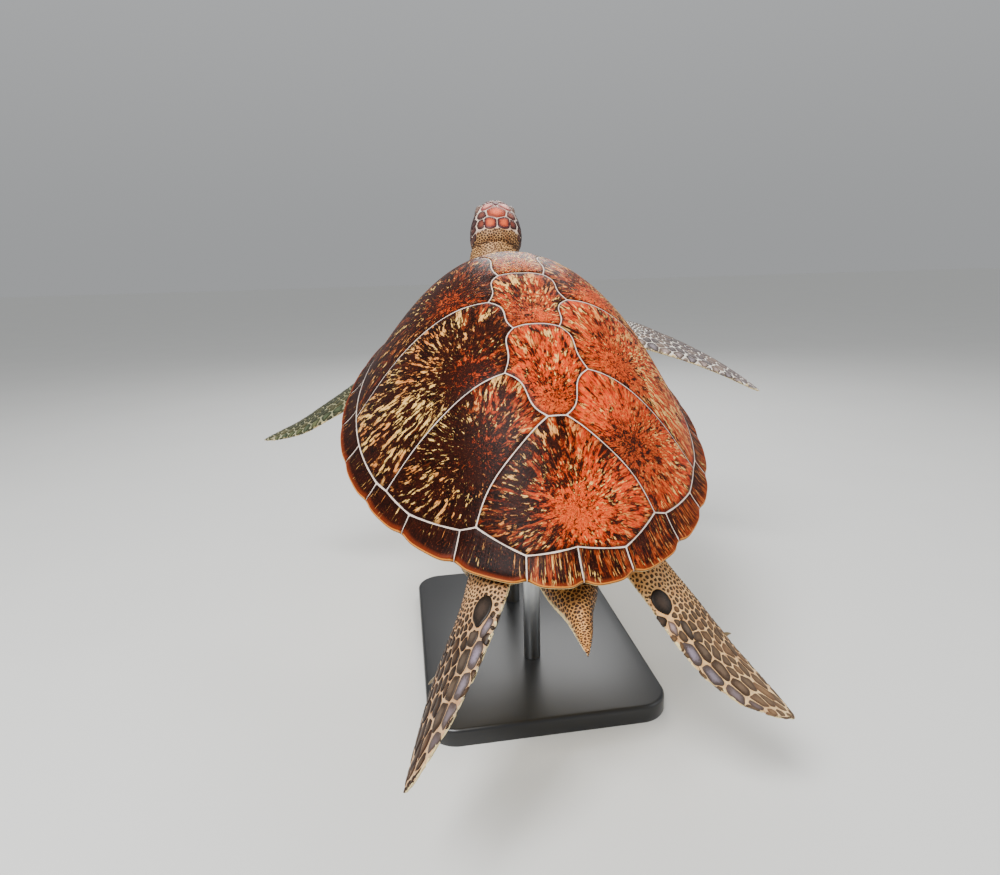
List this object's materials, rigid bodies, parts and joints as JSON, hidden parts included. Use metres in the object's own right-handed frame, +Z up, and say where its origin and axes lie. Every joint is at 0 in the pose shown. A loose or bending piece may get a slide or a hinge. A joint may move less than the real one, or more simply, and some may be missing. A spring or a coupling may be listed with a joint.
{
  "type": "green sea turtle model",
  "caption": "Life-size green sea turtle in a swimming pose, head raised and flippers spread, held by two rods on a flat base; a still display model",
  "frame": {"origin": "centre of the display base's underside, on the floor", "axes": "+Z up, +Y towards the turtle's head, +X towards its right side"},
  "size_m": [1.1052, 1.0994, 0.8837],
  "materials": {
    "horn_plate": "satin, radiating brown and cream streaks",
    "scaly_skin": "matt scaly skin, brown scales with cream edges",
    "belly_plate": "satin, plain cream-yellow",
    "beak_horn": "satin horn",
    "eye": "wet gloss, near black",
    "brushed_rod": "brushed",
    "lacquered_base": "satin black lacquer"
  },
  "bodies": {
    "root": {"nuchal": "horn_plate", "vertebral_1": "horn_plate", "vertebral_2": "horn_plate", "vertebral_3": "horn_plate", "vertebral_4": "horn_plate", "vertebral_5": "horn_plate", "costal_left_1": "horn_plate", "costal_left_2": "horn_plate", "costal_left_3": "horn_plate", "costal_left_4": "horn_plate", "costal_right_1": "horn_plate", "costal_right_2": "horn_plate", "costal_right_3": "horn_plate", "costal_right_4": "horn_plate", "marginal_left_1": "horn_plate", "marginal_left_2": "horn_plate", "marginal_left_3": "horn_plate", "marginal_left_4": "horn_plate", "marginal_left_5": "horn_plate", "marginal_left_6": "horn_plate", "marginal_left_7": "horn_plate", "marginal_left_8": "horn_plate", "marginal_left_9": "horn_plate", "marginal_left_10": "horn_plate", "marginal_left_11": "horn_plate", "marginal_right_1": "horn_plate", "marginal_right_2": "horn_plate", "marginal_right_3": "horn_plate", "marginal_right_4": "horn_plate", "marginal_right_5": "horn_plate", "marginal_right_6": "horn_plate", "marginal_right_7": "horn_plate", "marginal_right_8": "horn_plate", "marginal_right_9": "horn_plate", "marginal_right_10": "horn_plate", "marginal_right_11": "horn_plate", "supracaudal_left": "horn_plate", "supracaudal_right": "horn_plate", "trunk": "scaly_skin", "plastron": "belly_plate", "neck": "scaly_skin", "tail": "scaly_skin", "head": "scaly_skin", "beak_upper": "beak_horn", "beak_lower": "beak_horn", "eye_left": "eye", "eye_right": "eye", "fore_flipper_left": "scaly_skin", "fore_flipper_right": "scaly_skin", "hind_flipper_left": "scaly_skin", "hind_flipper_right": "scaly_skin", "fore_claw_left": "beak_horn", "fore_claw_right": "beak_horn", "hind_claw_left": "beak_horn", "hind_claw_right": "beak_horn", "stand_base": "lacquered_base", "stand_rod_front": "brushed_rod", "stand_rod_rear": "brushed_rod"}
  },
  "joints": []
}
